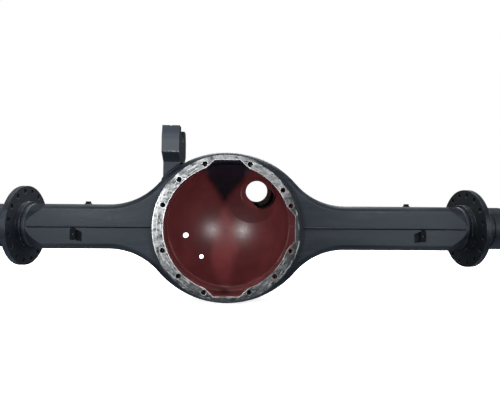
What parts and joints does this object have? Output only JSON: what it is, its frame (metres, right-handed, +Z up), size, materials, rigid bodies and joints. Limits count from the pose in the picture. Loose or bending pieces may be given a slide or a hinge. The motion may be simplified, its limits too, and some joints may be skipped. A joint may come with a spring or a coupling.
{
  "type": "axle housing",
  "caption": "Banjo drive axle housing of a heavy truck: box-section arms, machined carrier ring, rear dome with a through-shaft port, brake flanges, spindles and a rod bracket",
  "frame": {"origin": "centre of the carrier ring's machined face, on the ring's axis", "axes": "+X along the axle to the right as seen from the carrier side, +Y to the rear through the dome, +Z up toward the rod bracket"},
  "size_m": [2.27, 0.4036, 0.599],
  "materials": {
    "charcoal_paint": "satin",
    "machined_steel": "mottled machined face",
    "red_primer": "satin"
  },
  "bodies": {
    "root": {"upper_shell": "charcoal_paint", "lower_shell": "charcoal_paint", "carrier_ring": "machined_steel", "ring_weld": "charcoal_paint", "rear_dome": "red_primer", "dome_weld": "charcoal_paint", "through_port": "charcoal_paint", "port_weld": "charcoal_paint", "spindle_left": "charcoal_paint", "spindle_right": "charcoal_paint", "brake_flange_left": "charcoal_paint", "brake_flange_right": "charcoal_paint", "girth_weld_left": "charcoal_paint", "girth_weld_right": "charcoal_paint", "seam_weld_front_left": "charcoal_paint", "seam_weld_front_right": "charcoal_paint", "seam_weld_rear_left": "charcoal_paint", "seam_weld_rear_right": "charcoal_paint", "rod_bracket": "charcoal_paint", "pipe_clip_left": "charcoal_paint", "pipe_clip_right": "charcoal_paint", "top_boss_left": "charcoal_paint", "top_boss_right": "charcoal_paint"}
  },
  "joints": []
}
